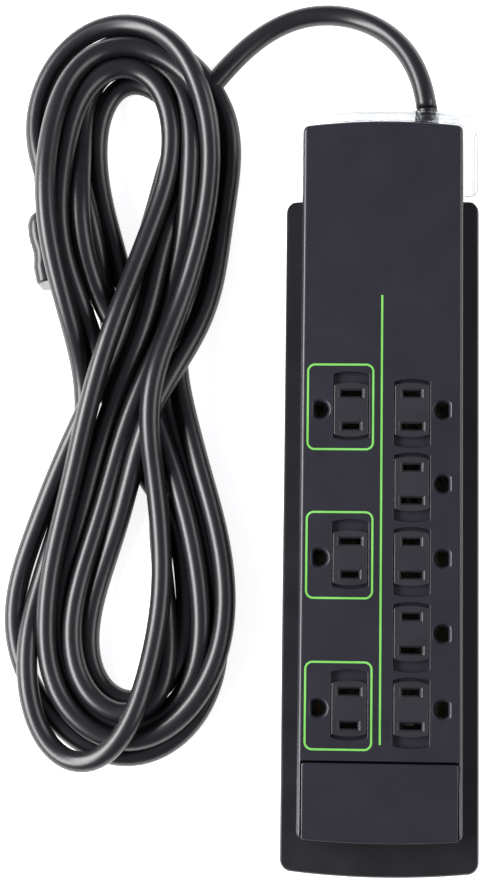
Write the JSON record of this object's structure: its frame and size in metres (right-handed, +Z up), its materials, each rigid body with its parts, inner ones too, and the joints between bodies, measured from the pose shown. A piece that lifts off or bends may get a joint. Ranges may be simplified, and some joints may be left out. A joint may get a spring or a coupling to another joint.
{
  "type": "surge protector power strip",
  "caption": "Power strip with surge protection: raised outlet panel with sliding shutters, rocker paddle, clear cord shroud and a mains cord wound in a figure-eight hank.",
  "frame": {"origin": "bottom centre of the strip itself, on the surface that its feet stand on, leaving out the cord", "axes": "+Z up through the outlet panel, +Y along the strip towards the cord end, +X to the right with the cord end away from the viewer"},
  "size_m": [0.189, 0.3496, 0.0376],
  "materials": {
    "case_gloss": "high gloss black",
    "panel_satin": "smooth satin black",
    "shutter_satin": "satin black",
    "breaker_case": "moulded black",
    "clear_plastic": "water clear",
    "foot_rubber": "matt black",
    "steel": "zinc plated",
    "contact_brass": "stamped strip",
    "carrier_plastic": "moulded cream",
    "board": "green laminate",
    "varistor_coat": "dipped blue epoxy",
    "fuse_ceramic": "white ceramic",
    "capacitor_case": "moulded yellow",
    "copper_wire": "enamelled copper winding",
    "wire_black": "insulation",
    "wire_white": "insulation",
    "wire_green": "insulation",
    "cord_jacket": "smooth glossy vinyl",
    "plug_metal": "plain blades and pin"
  },
  "bodies": {
    "strip": {"base_housing": "case_gloss", "foot_1": "foot_rubber", "foot_2": "foot_rubber", "foot_3": "foot_rubber", "foot_4": "foot_rubber", "case_screw_1": "steel", "case_screw_2": "steel", "case_screw_3": "steel", "case_screw_4": "steel", "case_screw_5": "steel", "case_screw_6": "steel", "outlet_panel": "panel_satin", "paddle_pivot_pin": "steel", "breaker_switch_body": "breaker_case", "clear_cord_shroud": "clear_plastic", "neutral_bus_bar_left": "contact_brass", "hot_bus_bar_left": "contact_brass", "ground_bus_bar_left": "contact_brass", "neutral_bus_bar_right": "contact_brass", "hot_bus_bar_right": "contact_brass", "ground_bus_bar_right": "contact_brass", "contact_carrier_left": "carrier_plastic", "contact_carrier_right": "carrier_plastic", "surge_board": "board", "varistor_1": "varistor_coat", "varistor_2": "varistor_coat", "varistor_3": "varistor_coat", "thermal_fuse": "fuse_ceramic", "filter_capacitor": "capacitor_case", "choke_coil": "copper_wire", "strain_relief": "cord_jacket", "cord_clamp": "steel", "hot_wire": "wire_black", "neutral_wire": "wire_white", "ground_wire": "wire_green", "breaker_wire": "wire_black", "cord_lead": "cord_jacket", "cord_hank": "cord_jacket", "plug_body": "cord_jacket", "plug_blade_hot": "plug_metal", "plug_blade_neutral": "plug_metal", "plug_ground_pin": "plug_metal"},
    "paddle": {"power_paddle": "panel_satin"},
    "shutter_body_left_1": {"shutter_left_1": "shutter_satin"},
    "shutter_body_left_2": {"shutter_left_2": "shutter_satin"},
    "shutter_body_left_3": {"shutter_left_3": "shutter_satin"},
    "shutter_body_right_1": {"shutter_right_1": "shutter_satin"},
    "shutter_body_right_2": {"shutter_right_2": "shutter_satin"},
    "shutter_body_right_3": {"shutter_right_3": "shutter_satin"},
    "shutter_body_right_4": {"shutter_right_4": "shutter_satin"},
    "shutter_body_right_5": {"shutter_right_5": "shutter_satin"}
  },
  "joints": [
    {"name": "paddle_rock", "type": "hinge", "parent": "strip", "child": "paddle", "pos_m": [0, -0.1192, 0.03], "axis": [-1, 0, 0], "range_deg": [0, 5.2]},
    {"name": "shutter_slide_left_1", "type": "slide", "parent": "strip", "child": "shutter_body_left_1", "axis": [0, 1, 0], "range_m": [0, 0.0036]},
    {"name": "shutter_slide_left_2", "type": "slide", "parent": "strip", "child": "shutter_body_left_2", "axis": [0, 1, 0], "range_m": [0, 0.0036]},
    {"name": "shutter_slide_left_3", "type": "slide", "parent": "strip", "child": "shutter_body_left_3", "axis": [0, 1, 0], "range_m": [0, 0.0036]},
    {"name": "shutter_slide_right_1", "type": "slide", "parent": "strip", "child": "shutter_body_right_1", "axis": [0, -1, 0], "range_m": [0, 0.0036]},
    {"name": "shutter_slide_right_2", "type": "slide", "parent": "strip", "child": "shutter_body_right_2", "axis": [0, -1, 0], "range_m": [0, 0.0036]},
    {"name": "shutter_slide_right_3", "type": "slide", "parent": "strip", "child": "shutter_body_right_3", "axis": [0, -1, 0], "range_m": [0, 0.0036]},
    {"name": "shutter_slide_right_4", "type": "slide", "parent": "strip", "child": "shutter_body_right_4", "axis": [0, -1, 0], "range_m": [0, 0.0036]},
    {"name": "shutter_slide_right_5", "type": "slide", "parent": "strip", "child": "shutter_body_right_5", "axis": [0, -1, 0], "range_m": [0, 0.0036]}
  ]
}
